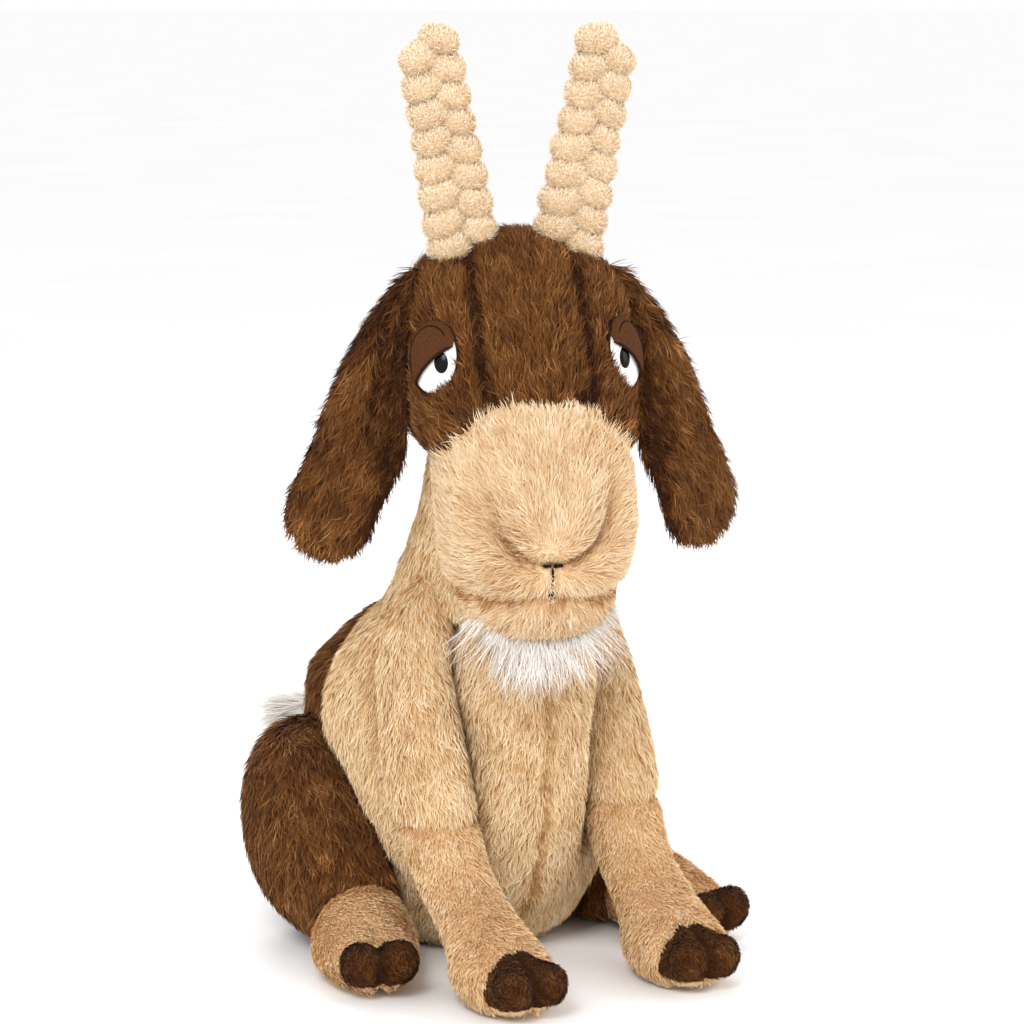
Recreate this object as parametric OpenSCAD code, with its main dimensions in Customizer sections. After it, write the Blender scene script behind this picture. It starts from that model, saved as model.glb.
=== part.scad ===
// Seated plush goat: a soft toy sewn from fur fabric panels over loose filling.
// It faces -Y, its left side is +X, and it sits on z = 0.

/* [Torso] */
// Half width of the torso at the hips
torso_half_w = 60; // [56:0.5:62]
// Half depth of the torso at the hips, front to back
torso_half_d = 84; // [80:0.5:88]
// Radius of the neck where the head is sewn on
neck_r = 34; // [32:0.5:36]
// Height of the seam between neck and head
neck_seam_z = 219; // [216:0.5:221]

/* [Head] */
// Turn of the head at rest, to the goat's left when positive
head_turn = -15; // [-16:0.5:-8]
// Half width of the head at the cheeks
head_half_w = 48.5; // [47.5:0.5:49.5]
// Half width of the forehead gusset
gusset_half_w = 22; // [16:0.5:24]
// Height of the mouth seam
mouth_z = 163; // [161:0.5:165]

/* [Ears] */
// Half thickness of an ear, both layers of fabric
ear_half_t = 5.5; // [4:0.5:6]
// Turn of the ear's face from straight ahead
ear_yaw = 26; // [24:1:28]

/* [Horns] */
// Number of lobes along one side of a horn
lobe_count = 10; // [8:1:12]
// Radius of a lobe at the foot of the horn
lobe_r_foot = 8; // [7.4:0.1:8.2]
// Radius of a lobe at the tip of the horn
lobe_r_tip = 6.4; // [5.8:0.1:6.8]
// Distance of a horn's foot from the middle of the head
horn_foot_x = 22; // [20:0.5:24]
// Distance of a horn's tip from the middle of the head
horn_tip_x = 38; // [34:0.5:40]
// Height of the highest lobe's centre
horn_tip_z = 385; // [375:1:388]

/* [Legs] */
// Inner flat of the front legs, measured from the middle
leg_inner_x = 23; // [22:0.1:24]
// Inner flat of the thighs, measured from the middle
thigh_inner_x = 43; // [42.5:0.1:44]
// Outward turn of the hind feet
foot_splay = 14; // [10:1:18]

/* [Fabric] */
// Thickness of the fur fabric with its backing
wall = 3; // [2.5:0.1:3.5]
// Space between two bodies that move on each other
gap = 0.35; // [0.3:0.05:0.4]

/* [Hidden] */

brown = [0.48, 0.30, 0.16];
dark_brown = [0.33, 0.20, 0.08];
tan_fur = [0.86, 0.72, 0.52];
cream = [0.94, 0.84, 0.67];
white_hair = [0.97, 0.96, 0.93];
thread_black = [0.06, 0.05, 0.05];
fill_white = [0.95, 0.95, 0.96];
pellet_grey = [0.80, 0.80, 0.78];

sides = 24;          // points round a lofted section
inner_sides = 14;    // points round the inner face of a cover, and round its filling
fit = 0.25;          // space round a filling inside its cover
big = 400;           // larger than the toy in every direction
neck_x = 1.5;        // the neck's upright axis stands here
neck_y = -6;
neck_clear_r = 38.5; // the muzzle stays outside this radius of the neck's axis
fringe_slope = 31;   // slope of the seam between brown head and cream muzzle
fringe_z = 213;      // height of that seam 5 mm ahead of the neck's axis

// A section is [z, x, y, half width, half depth].
torso = [
    [0, 0, 47, torso_half_w - 26, torso_half_d - 33],
    [3, 0, 49, torso_half_w - 17, torso_half_d - 28],
    [12, 0, 51, torso_half_w - 10, torso_half_d - 21],
    [30, 0, 49, torso_half_w - 4, torso_half_d - 9],
    [60, 0, 46, torso_half_w - 1, torso_half_d - 3],
    [90, 0, 45, torso_half_w + 1, torso_half_d],
    [112, 0, 41, torso_half_w, torso_half_d - 4],
    [130, 0, 29, torso_half_w - 9, torso_half_d - 17],
    [147, 0, 16, torso_half_w - 18, torso_half_d - 36],
    [166, 0.5, 9, torso_half_w - 22, torso_half_d - 37.5],
    [186, 1, 0, neck_r + 2.5, torso_half_d - 43],
    [206, neck_x, -5, neck_r + 2.5, neck_r + 3.5],
    [neck_seam_z - gap, neck_x, neck_y, neck_r, neck_r]
];

// Each head section gives [z, front, back, half width], front and back measured
// from the neck's axis towards the nose.
head_outline = [
    [141.5, 46, 32, 9], [144.5, 54, 20, 21], [150, 59, 12, 28], [157, 62, 6, 32.5],
    [mouth_z, 61.5, 2, 35], [171, 67, -1, 38], [183, 70, -2, 40], [198, 69, -3, 40.5],
    [212, 64, -10, head_half_w - 7.5], [224, 56, -38, head_half_w - 3],
    [238, 47, -45, head_half_w - 0.5], [258, 38, -46, head_half_w],
    [272, 31, -44, head_half_w - 1], [280, 27, -41, head_half_w - 4],
    [287, 22, -37, head_half_w - 8.5], [293, 17, -33, head_half_w - 14],
    [300, 8, -25, head_half_w - 23], [304.5, -4, -14, head_half_w - 38]
];
head = [for (h = head_outline) [h[0], 0, -(h[1] + h[2]) / 2, h[3], (h[1] - h[2]) / 2]];
head_exponent = 2.5;

// Ear sections about its pivot, in the ear's own flat frame:
// [z, across, behind, half width, half thickness].
ear_pivot = [46.5, 2.5, 287];
ear = [
    [170, 27, -14, 3, 2], [172.5, 27, -14, 11, 4], [179, 27, -15, 17.5, ear_half_t],
    [188, 27.5, -16, 21.5, ear_half_t], [197, 24.5, -17, 23, ear_half_t],
    [205, 21, -17, 22, ear_half_t], [214, 18, -16.4, 20.4, ear_half_t],
    [228, 16.4, -14, 17, ear_half_t], [241, 15, -12, 14.3, ear_half_t],
    [262, 10.5, -9.7, 9.3, ear_half_t], [275, 7.2, -6.6, 6.8, ear_half_t],
    [284, 4, -3.6, 5, ear_half_t - 1], [290, 1.2, -1, 3, 3], [292, 1, -0.8, 1, 1]
];

beard = [
    [125, 0, -53, 3, 1.5], [131, 0, -53.5, 10, 3.5], [138, 0, -53.5, 16, 5],
    [143, 0, -52, 19, 5.5], [148, 0, -50, 17, 5], [154, 0, -48, 8, 3]
];

shoulder = [42, 3, 124];
front_leg = [
    [0, 40, -72.5, 16, 24], [4, 40, -73, 20, 29], [13, 40, -73, 21, 30.5],
    [21, 40.5, -67, 19.5, 27], [28, 41, -54, 18, 22], [35, 41.5, -42, 17.5, 18.5],
    [42, 42, -33, 17, 17.5], [51, 42.5, -26, 17, 17.5], [61, 43, -20, 17.5, 18.5], [75, 43.5, -14, 18, 19.5],
    [88, 44, -9, 17.5, 21], [99, 43.5, -5.5, 16.5, 21.5], [113, 43, -1, 15, 21.5],
    [124, 42.5, 3, 14.5, 20.5], [134, 41, 5, 13, 17], [140, 40, 6, 10, 12], [144, 39, 6, 2, 2]
];
knee_z = 66;
sole_z = 3.6;
shoulder_clear_r = 23;
front_hoof = [40, -93.5, 13.5];
hoof_spread = 8.2;
hoof_half = [9.6, 10, 10.4];

hip = [0, 58, 56];
thigh_centre = [54, 46];
thigh_mean_r = 44;
// Side outline of the thigh as [y, z], from the front of its base round by the rear.
thigh_outline = [
    [24, 0], [46, 0], [64, 3], [77, 10], [87, 20], [95, 33], [100, 47], [101.5, 60], [100, 73],
    [95, 84], [86, 91], [73, 93], [60, 88], [48, 79], [37, 67], [27, 54], [18, 40], [9, 26],
    [2, 13], [6, 4]
];
// Thigh sections run outwards from the inner flat: [reach, share of the full outline].
thigh_profile = [
    [0, 0.94], [6, 0.985], [16, 1], [28, 0.93], [38, 0.76], [45, 0.52], [48.5, 0.26], [49.5, 0.05]
];
hind_lift = 8;       // the hind legs lift this far

foot_heel = [64, 22];
foot_back_y = 1.6;   // the foot's cover ends here, just ahead of the thigh
foot = [
    [0, 0, -29, 17.5, 37], [4, 0, -29, 22, 42], [12, 0, -29, 23, 43.5],
    [19, 0, -26, 22, 40], [25, 0, -18, 20, 31], [31, 0, -12, 17, 23], [36, 0, -8, 10, 15],
    [38, 0, -6, 2, 6]
];

tail_root = [-6, 136, 80];
tail_heading = 42;   // the tail lies this far to the goat's right of straight back
tail_droop = 8;
tail_length = 46;

// A cover's outer face takes more points than the faces hidden inside it.
function round_count(t) = t > 1 ? inner_sides : sides;
// The same sections with every surface moved inwards by t.
function inset(s, t) =
    let (low = s[0][0], high = s[len(s) - 1][0], mid = (low + high) / 2)
    [for (r = s) [
        mid + (r[0] - mid) * (high - low - 2 * t) / (high - low),
        r[1], r[2], max(r[3] - t, 0.4), max(r[4] - t, 0.4)
    ]];
function power(v, e) = sign(v) * pow(abs(v), 2 / e);
function ring(r, e, n) = [
    for (i = [0 : n - 1])
        let (a = 360 * (i + 0.5) / n)
        [r[1] + r[3] * power(cos(a), e), r[2] + r[4] * power(sin(a), e), r[0]]
];

// A closed solid through rings of n points, each ring anticlockwise seen from the last one.
module skin(rings, n) {
    last = len(rings) - 1;
    walls = [
        for (k = [0 : last - 1])
            for (i = [0 : n - 1])
                let (j = (i + 1) % n, low = k * n, high = low + n)
                each [[low + i, high + i, high + j], [low + i, high + j, low + j]]
    ];
    floor_cap = [for (i = [0 : n - 1]) i];
    roof_cap = [for (i = [n - 1 : -1 : 0]) last * n + i];
    polyhedron(points = [for (r = rings) each r], faces = concat([floor_cap, roof_cap], walls));
}

// A closed solid through horizontal sections; e above 2 squares its outline.
module loft(s, e = 2, n = sides) { skin([for (r = s) ring(r, e, n)], n); }

module left_half() { translate([0, -big, -big]) cube(2 * big); }
module above(z) { translate([-big, -big, z]) cube(2 * big); }
module below(z) { translate([-big, -big, z - 2 * big]) cube(2 * big); }
module flip(side) { mirror([side < 0 ? 1 : 0, 0, 0]) children(); }

// An egg shape in level rings, for the small curved pieces.
module oval(size) {
    loft([for (a = [-80 : 20 : 80]) [size[2] * sin(a), 0, 0, size[0] * cos(a), size[1] * cos(a)]]);
}

/* ---- torso ---- */

// Room for a front leg from rest to fully lifted, outside the plane of its inner flat.
module front_leg_room(grow) {
    outline = [
        [-22, 0], [-22, 21], [-16, 38], [-8.5, 49], [-0.5, 61], [7, 75], [13.5, 88],
        [17.5, 99], [22, 113], [25, 124], [25, 147], [-big / 2, 147], [-big / 2, 0]
    ];
    translate([leg_inner_x - gap - grow, 0, 0]) rotate([90, 0, 90]) linear_extrude(60) {
        polygon([for (p = outline) [p[0] + grow, p[1]]]);
        translate([shoulder[1], shoulder[2]]) circle(r = shoulder_clear_r + grow, $fn = 48);
    }
}

// Room for a thigh from rest to fully lifted.
module thigh_room(grow) {
    spread = 1 + (1.5 + grow) / thigh_mean_r;
    translate([thigh_inner_x - gap - grow, 0, 0]) rotate([90, 0, 90]) linear_extrude(80)
        for (a = [0, hind_lift / 2, hind_lift])
            translate([hip[1], hip[2]]) rotate(-a) translate([-hip[1], -hip[2]])
                polygon([for (p = thigh_ring(0, spread)) [p[1], p[2]]]);
}

module torso_form(t) {
    difference() {
        loft(inset(torso, t), 2.2, round_count(t));
        for (side = [-1, 1]) flip(side) {
            front_leg_room(t);
            thigh_room(t);
        }
    }
}

module torso_shell() {
    difference() {
        torso_form(0);
        torso_form(wall);
    }
}

// The brown panel covers everything behind a seam that slopes from nape to hip.
module back_region() {
    rotate([90, 0, 90]) translate([0, 0, -big / 2])
        linear_extrude(big) polygon([[34, 172], [58, 140], [60, 101], [62, 5], [big, 5], [big, 172]]);
}

module chest(side) {
    color(tan_fur) difference() {
        intersection() {
            torso_shell();
            flip(side) left_half();
        }
        back_region();
        below(5);
    }
}

module back_panel() {
    color(brown) intersection() {
        torso_shell();
        back_region();
    }
}

module base_panel() {
    color(tan_fur) intersection() {
        torso_shell();
        below(5);
    }
}

module pellet_form(t) {
    translate([0, 56, 28]) scale([34 - t, 48 - t, 19 - t]) sphere(r = 1, $fn = 40);
}

module torso_filling() {
    color(fill_white) difference() {
        torso_form(wall + fit);
        pellet_form(-fit);
    }
}

module pellet_bag() {
    color(pellet_grey) pellet_form(0);
}

/* ---- head ---- */

module at_head() {
    translate([neck_x, neck_y, 0]) rotate([0, 0, head_turn]) children();
}

module head_form(t) {
    difference() {
        loft(inset(head, t), head_exponent, round_count(t));
        translate([0, 0, -1]) cylinder(r = neck_clear_r + t, h = neck_seam_z + 1 + t, $fn = 96);
        translate([-big / 2, -10 - t, -big + neck_seam_z + t]) cube(big);
    }
}

module head_shell() {
    difference() {
        head_form(0);
        head_form(wall);
    }
}

// Everything below the slanting seam between head and muzzle.
module muzzle_region(drop) {
    translate([0, -5, fringe_z - drop]) rotate([-fringe_slope, 0, 0])
        translate([-big / 2, -big, -big]) cube([big, 2 * big, big]);
}

module skull_shell() {
    difference() {
        head_shell();
        muzzle_region(0);
    }
}

module head_side(side) {
    color(brown) at_head() intersection() {
        skull_shell();
        flip(side) translate([gusset_half_w, 0, 0]) left_half();
    }
}

module head_gusset() {
    color(brown) at_head() intersection() {
        skull_shell();
        translate([-gusset_half_w, -big / 2, 0]) cube([2 * gusset_half_w, big, big]);
    }
}

module muzzle() {
    color(cream) at_head() difference() {
        intersection() {
            head_shell();
            muzzle_region(0);
        }
        below(mouth_z);
        stitches(fit);
    }
}

module chin() {
    color(cream) at_head() intersection() {
        head_shell();
        below(mouth_z);
    }
}

module nose_bar(grow) {
    translate([-5 - grow, -69, 174.4 - grow]) cube([10 + 2 * grow, 6, 1.4 + 2 * grow]);
}

module mouth_bar(grow) {
    translate([-0.8 - grow, -69, 164.6 - grow]) cube([1.6 + 2 * grow, 8, 9.6 + 2 * grow]);
}

module stitches(grow) {
    nose_bar(grow);
    mouth_bar(grow);
}

// Thread that lies half sunk in the face of the muzzle.
module nose_stitch() {
    color(thread_black) at_head() intersection() {
        nose_bar(0);
        stitch_layer();
    }
}

module mouth_stitch() {
    color(thread_black) at_head() difference() {
        intersection() {
            mouth_bar(0);
            stitch_layer();
        }
        nose_bar(0.2);
    }
}

module stitch_layer() {
    difference() {
        head_form(-0.6);
        head_form(1);
    }
}

module head_filling() {
    color(fill_white) at_head() head_form(wall + fit);
}

/* ---- eyes ---- */

eye_place = [40, -22, 257];
eye_half = [11, 4.5, 14.5];
lid_slant = 28;

module at_eye(side) {
    flip(side) translate(eye_place) rotate([0, 0, 47]) rotate([-14, 0, 0]) rotate([0, 12, 0])
        children();
}

// Space above the slanting edge of the half closed lid.
module lid_region(grow) {
    translate([0, 0, 0.5 - grow]) rotate([0, -lid_slant, 0]) translate([-20, -20, 0]) cube(40);
}

module pupil_form(grow) {
    translate([-2.2, 0, -2]) rotate([90, 0, 0])
        cylinder(r = 3.4 + grow, h = 12, $fn = 32);
}

module eye_white(side) {
    color("white") at_head() difference() {
        at_eye(side) difference() {
            oval(eye_half);
            lid_region(0.1);
            pupil_form(0.1);
        }
        head_form(0);
    }
}

module pupil(side) {
    color("black") at_head() difference() {
        at_eye(side) difference() {
            intersection() {
                oval(eye_half + [0.4, 0.4, 0.4]);
                pupil_form(0);
            }
            lid_region(0.1);
        }
        head_form(0);
    }
}

module eyelid(side) {
    color(dark_brown) at_head() difference() {
        at_eye(side) intersection() {
            oval(eye_half + [1, 1.3, 1]);
            lid_region(0);
        }
        head_form(0);
    }
}

/* ---- beard and horns ---- */

module beard() {
    color(white_hair) at_head() difference() {
        loft(beard);
        head_form(0);
    }
}

// Place s along a horn, from 0 at its foot to 1 at its tip.
function along_horn(s) = horn_foot + s * (horn_tip - horn_foot);
function lobe_r(s) = lobe_r_foot + (lobe_r_tip - lobe_r_foot) * s;
horn_foot = [horn_foot_x, 2, 300];
horn_tip = [horn_tip_x, -4, horn_tip_z];

// Two rows of puffed lobes, one row half a step above the other.
module horn_cover(side) {
    color(cream) at_head() flip(side) difference() {
        for (i = [0 : lobe_count - 1], row = [-1, 1]) {
            s = (i + (row > 0 ? 0 : 0.5)) / (lobe_count - 0.5);
            translate(along_horn(s) + [row * 0.62 * lobe_r(s), 0, 0])
                sphere(r = lobe_r(s), $fn = 24);
        }
        horn_core(fit);
        head_form(-0.1);
    }
}

module horn_core(grow) {
    way = horn_tip - horn_foot;
    translate(horn_foot) rotate([0, acos(way[2] / norm(way)), atan2(way[1], way[0])])
        translate([0, 0, -10 - grow]) cylinder(r = 3 + grow, h = norm(way) + 10 + 2 * grow, $fn = 24);
}

module horn_filling(side) {
    color(fill_white) at_head() flip(side) difference() {
        horn_core(0);
        head_form(-0.2);
    }
}

/* ---- ears ---- */

module at_ear() {
    translate([ear_pivot[0], ear_pivot[1], 0]) rotate([0, 0, ear_yaw]) children();
}

// Everything ahead of the middle layer of an ear.
module ear_front_room() {
    last = len(ear) - 1;
    depth = 20;
    loft([
        for (i = [0 : last])
            [ear[i][0] + (i == 0 ? -2 : i == last ? 2 : 0), ear[i][1], ear[i][2] - depth, 60, depth]
    ], 12, 16);
}

// The front and back fabric of an ear meet at its middle layer.
module ear_layer(side, front) {
    color(brown) at_head() flip(side) at_ear() {
        if (front) intersection() {
            loft(ear, 2.4, 16);
            ear_front_room();
        }
        else difference() {
            loft(ear, 2.4, 16);
            ear_front_room();
        }
    }
}

/* ---- front legs ---- */

module front_leg_form(t) {
    difference() {
        loft(inset(front_leg, t), 2, round_count(t));
        translate([leg_inner_x + t - big, -big / 2, 46 - t]) cube(big);
    }
}

module front_leg_shell() {
    difference() {
        front_leg_form(0);
        front_leg_form(wall);
    }
}

module front_hoof_pair(grow) {
    for (row = [-1, 1])
        translate([front_hoof[0] + row * hoof_spread, front_hoof[1], front_hoof[2]])
            oval(hoof_half + [grow, grow, grow]);
}

module front_leg_upper(side) {
    color(tan_fur) flip(side) intersection() {
        front_leg_shell();
        above(knee_z);
    }
}

module front_leg_lower(side) {
    color(tan_fur) flip(side) difference() {
        front_leg_shell();
        above(knee_z);
        below(sole_z);
        front_hoof_pair(0.1);
    }
}

module front_leg_sole(side) {
    color(cream) flip(side) intersection() {
        front_leg_shell();
        below(sole_z);
    }
}

module front_leg_hooves(side) {
    color(dark_brown) flip(side) difference() {
        front_hoof_pair(0);
        front_leg_form(wall + fit / 2);
        below(sole_z + 0.2);
        translate([front_hoof[0] - 0.3, -big / 2, 0]) cube([0.6, big, 60]);
    }
}

module front_leg_filling(side) {
    color(fill_white) flip(side) front_leg_form(wall + fit);
}

/* ---- hind legs ---- */

// One closed ring of the thigh's outline at a distance x from the middle plane.
function thigh_ring(x, share) = [
    for (p = thigh_outline)
        [x, thigh_centre[0] + (p[0] - thigh_centre[0]) * share,
            thigh_centre[1] + (p[1] - thigh_centre[1]) * share]
];

module thigh_form(t) {
    full = thigh_profile[len(thigh_profile) - 1][0];
    skin(
        [for (p = thigh_profile)
            thigh_ring(thigh_inner_x + t + p[0] * (1 - 2 * t / full), p[1] * (1 - t / thigh_mean_r))],
        len(thigh_outline)
    );
}

module at_foot() {
    translate([foot_heel[0], foot_heel[1], 0]) rotate([0, 0, foot_splay]) children();
}

module foot_form(t) {
    at_foot() loft(inset(foot, t), 2, round_count(t));
}

module foot_shell() {
    difference() {
        foot_form(0);
        foot_form(wall);
        translate([-big, foot_back_y, -big]) cube(2 * big);
    }
}

module hind_hoof_pair(grow) {
    at_foot() for (row = [-1, 1])
        translate([row * hoof_spread, -64, 15]) oval(hoof_half + [grow, grow, grow]);
}

module hind_leg_thigh(side) {
    color(brown) flip(side) difference() {
        thigh_form(0);
        thigh_form(wall);
    }
}

module hind_leg_foot(side) {
    color(tan_fur) flip(side) difference() {
        foot_shell();
        below(sole_z);
        hind_hoof_pair(0.1);
    }
}

module hind_leg_sole(side) {
    color(cream) flip(side) intersection() {
        foot_shell();
        below(sole_z);
    }
}

module hind_leg_hooves(side) {
    color(dark_brown) flip(side) difference() {
        hind_hoof_pair(0);
        foot_form(wall + fit / 2);
        below(sole_z + 0.2);
        at_foot() translate([-0.3, -big / 2, 0]) cube([0.6, big, 60]);
    }
}

module hind_leg_filling(side) {
    color(fill_white) flip(side) {
        thigh_form(wall + fit);
        difference() {
            foot_form(wall + fit);
            thigh_form(-0.1);
        }
    }
}

/* ---- tail ---- */

module at_tail() {
    translate(tail_root) rotate([0, 0, tail_heading]) rotate([-tail_droop, 0, 0]) children();
}

module tail_core() {
    color(white_hair) at_tail() rotate([-90, 0, 0]) {
        sphere(r = 5, $fn = 32);
        cylinder(r = 5, h = tail_length - 8, $fn = 32);
        translate([0, 0, tail_length - 8]) sphere(r = 5, $fn = 32);
    }
}

module tail_hair() {
    color(white_hair) at_tail() rotate([-90, 0, 0]) difference() {
        translate([0, 0, 4]) loft([
            for (p = [[0, 6], [6, 8.5], [16, 11], [28, 12], [38, 10], [44, 5], [46, 1]])
                [p[0], 0, 0, p[1], p[1]]
        ]);
        translate([0, 0, -1]) cylinder(r = 5 + fit, h = tail_length - 7, $fn = 32);
        translate([0, 0, tail_length - 8]) sphere(r = 5 + fit, $fn = 32);
    }
}

chest(1);  // chest_left
chest(-1);  // chest_right
back_panel();
base_panel();
torso_filling();
pellet_bag();
head_side(1);  // head_side_left
head_side(-1);  // head_side_right
head_gusset();
muzzle();
chin();
nose_stitch();
mouth_stitch();
eye_white(1);  // eye_white_left
eye_white(-1);  // eye_white_right
pupil(1);  // pupil_left
pupil(-1);  // pupil_right
eyelid(1);  // eyelid_left
eyelid(-1);  // eyelid_right
beard();
head_filling();
horn_cover(1);  // horn_left_cover
horn_cover(-1);  // horn_right_cover
horn_filling(1);  // horn_left_filling
horn_filling(-1);  // horn_right_filling
ear_layer(1, true);  // ear_left_front
ear_layer(1, false);  // ear_left_back
ear_layer(-1, true);  // ear_right_front
ear_layer(-1, false);  // ear_right_back
front_leg_upper(1);  // front_leg_left_upper
front_leg_lower(1);  // front_leg_left_lower
front_leg_sole(1);  // front_leg_left_sole
front_leg_hooves(1);  // front_leg_left_hooves
front_leg_filling(1);  // front_leg_left_filling
front_leg_upper(-1);  // front_leg_right_upper
front_leg_lower(-1);  // front_leg_right_lower
front_leg_sole(-1);  // front_leg_right_sole
front_leg_hooves(-1);  // front_leg_right_hooves
front_leg_filling(-1);  // front_leg_right_filling
hind_leg_thigh(1);  // hind_leg_left_thigh
hind_leg_foot(1);  // hind_leg_left_foot
hind_leg_sole(1);  // hind_leg_left_sole
hind_leg_hooves(1);  // hind_leg_left_hooves
hind_leg_filling(1);  // hind_leg_left_filling
hind_leg_thigh(-1);  // hind_leg_right_thigh
hind_leg_foot(-1);  // hind_leg_right_foot
hind_leg_sole(-1);  // hind_leg_right_sole
hind_leg_hooves(-1);  // hind_leg_right_hooves
hind_leg_filling(-1);  // hind_leg_right_filling
tail_core();
tail_hair();
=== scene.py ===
import math

import bpy
import numpy as np
from mathutils import Matrix, Vector
from mathutils.bvhtree import BVHTree
from mathutils.kdtree import KDTree


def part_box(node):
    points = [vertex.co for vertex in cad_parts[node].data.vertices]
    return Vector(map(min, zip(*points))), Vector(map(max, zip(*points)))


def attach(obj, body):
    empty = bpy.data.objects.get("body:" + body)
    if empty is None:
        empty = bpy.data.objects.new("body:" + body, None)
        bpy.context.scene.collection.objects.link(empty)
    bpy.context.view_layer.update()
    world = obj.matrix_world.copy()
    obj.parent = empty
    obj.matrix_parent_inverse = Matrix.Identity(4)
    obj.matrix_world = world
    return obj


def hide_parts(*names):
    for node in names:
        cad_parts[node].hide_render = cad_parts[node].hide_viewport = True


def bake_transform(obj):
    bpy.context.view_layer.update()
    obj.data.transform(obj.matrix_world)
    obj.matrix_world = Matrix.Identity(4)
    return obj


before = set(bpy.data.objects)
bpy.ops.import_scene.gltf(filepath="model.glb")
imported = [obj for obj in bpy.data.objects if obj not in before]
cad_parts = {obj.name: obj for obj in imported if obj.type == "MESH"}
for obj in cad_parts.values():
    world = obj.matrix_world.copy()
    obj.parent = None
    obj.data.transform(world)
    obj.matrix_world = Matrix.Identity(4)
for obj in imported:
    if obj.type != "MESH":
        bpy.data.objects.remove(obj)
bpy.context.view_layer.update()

SCENE = bpy.context.scene
MM = 0.001

# ---- frames of the moving parts
HEAD_TURN = math.radians(-15)
NECK_AXIS = Vector((0.0015, -0.006, 0))
HEAD_SPOT = Matrix.Translation(NECK_AXIS) @ Matrix.Rotation(HEAD_TURN, 4, "Z")


def in_head(p):
    """Points of the head's own frame (metres) brought to the object's frame."""
    p = np.atleast_2d(np.asarray(p, float))
    m = np.array(HEAD_SPOT)
    return p @ m[:3, :3].T + m[:3, 3]


def to_head(p):
    """Points of the object's frame brought to the head's own frame."""
    m = np.array(HEAD_SPOT.inverted())
    return p @ m[:3, :3].T + m[:3, 3]


HEAD_AXES = np.array(HEAD_SPOT)[:3, :3]

# ---- colour helpers


def linear(rgb):
    """A display colour, 0 to 255 in each channel, as linear RGBA."""
    out = []
    for c in rgb:
        c /= 255
        out.append(c / 12.92 if c <= 0.04045 else ((c + 0.055) / 1.055) ** 2.4)
    return (*out, 1.0)


def new_material(name):
    m = bpy.data.materials.new(name)
    m.use_nodes = True
    nodes = m.node_tree.nodes
    nodes.clear()
    out = nodes.new("ShaderNodeOutputMaterial")
    shader = nodes.new("ShaderNodeBsdfPrincipled")
    m.node_tree.links.new(shader.outputs[0], out.inputs[0])
    return m, m.node_tree, shader


def dial(node, **values):
    """Sets a node's inputs; an underscore stands for a space in a socket's name."""
    for name, value in values.items():
        node.inputs[name.replace("_", " ")].default_value = value


def ramp(tree, source, stops):
    node = tree.nodes.new("ShaderNodeValToRGB")
    elements = node.color_ramp.elements
    while len(elements) < len(stops):
        elements.new(0.5)
    for element, (place, colour) in zip(elements, stops):
        element.position = place
        element.color = colour
    tree.links.new(source, node.inputs[0])
    return node.outputs[0]


def mix(tree, factor, a, b, mode="MIX"):
    node = tree.nodes.new("ShaderNodeMix")
    node.data_type = "RGBA"
    node.blend_type = mode
    if isinstance(factor, (int, float)):
        node.inputs[0].default_value = factor
    else:
        tree.links.new(factor, node.inputs[0])
    for value, socket in ((a, node.inputs[6]), (b, node.inputs[7])):
        if isinstance(value, tuple):
            socket.default_value = value
        else:
            tree.links.new(value, socket)
    return node.outputs[2]


def noise(tree, scale, detail=3.0, seed=0.0):
    where = tree.nodes.new("ShaderNodeTexCoord").outputs["Object"]
    if seed:
        mapping = tree.nodes.new("ShaderNodeMapping")
        dial(mapping, Location=(seed, seed * 0.7, -seed))
        tree.links.new(where, mapping.inputs[0])
        where = mapping.outputs[0]
    node = tree.nodes.new("ShaderNodeTexNoise")
    dial(node, Scale=scale, Detail=detail)
    tree.links.new(where, node.inputs["Vector"])
    return node.outputs["Fac"]


def bump(tree, shader, height, strength, distance):
    node = tree.nodes.new("ShaderNodeBump")
    dial(node, Strength=strength, Distance=distance)
    tree.links.new(height, node.inputs["Height"])
    tree.links.new(node.outputs[0], shader.inputs["Normal"])


FUR_UV = "OFBake"
ROOT_REACH = 0.55  # share of a strand that the root shade darkens


def fur_material(name, shades, root, roughness=0.85, sheen=0.04):
    """Strand colour: shades run across u, and v runs from the root shade to the full one at the tip."""
    m, tree, shader = new_material(name)
    uv = tree.nodes.new("ShaderNodeUVMap")
    uv.uv_map = FUR_UV
    split = tree.nodes.new("ShaderNodeSeparateXYZ")
    tree.links.new(uv.outputs[0], split.inputs[0])
    stops = [(i / (len(shades) - 1), linear(c)) for i, c in enumerate(shades)]
    colour = ramp(tree, split.outputs["X"], stops)
    depth = ramp(tree, split.outputs["Y"], [(0, (0, 0, 0, 1)), (ROOT_REACH, (1, 1, 1, 1))])
    rooted = mix(tree, 1.0, colour, linear(root), "MULTIPLY")
    full = mix(tree, depth, rooted, colour)
    tree.links.new(full, shader.inputs["Base Color"])
    dial(shader, Roughness=roughness, Sheen_Weight=sheen, Sheen_Roughness=0.6, Specular_IOR_Level=0.06)
    return m


def pile_material(name, dark, light, scale=900, height=0.0006):
    """Backing and short pile seen between the strands."""
    m, tree, shader = new_material(name)
    grain = noise(tree, scale, 4)
    blotch = noise(tree, 60, 2, seed=3.1)
    fine = ramp(tree, grain, [(0.35, linear(dark)), (0.65, linear(light))])
    broad = ramp(tree, blotch, [(0.35, (0.82, 0.78, 0.74, 1)), (0.65, (1, 1, 1, 1))])
    tree.links.new(mix(tree, 1.0, fine, broad, "MULTIPLY"), shader.inputs["Base Color"])
    dial(shader, Roughness=0.9, Sheen_Weight=0.05, Specular_IOR_Level=0.15)
    bump(tree, shader, grain, 0.6, height)
    return m


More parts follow.
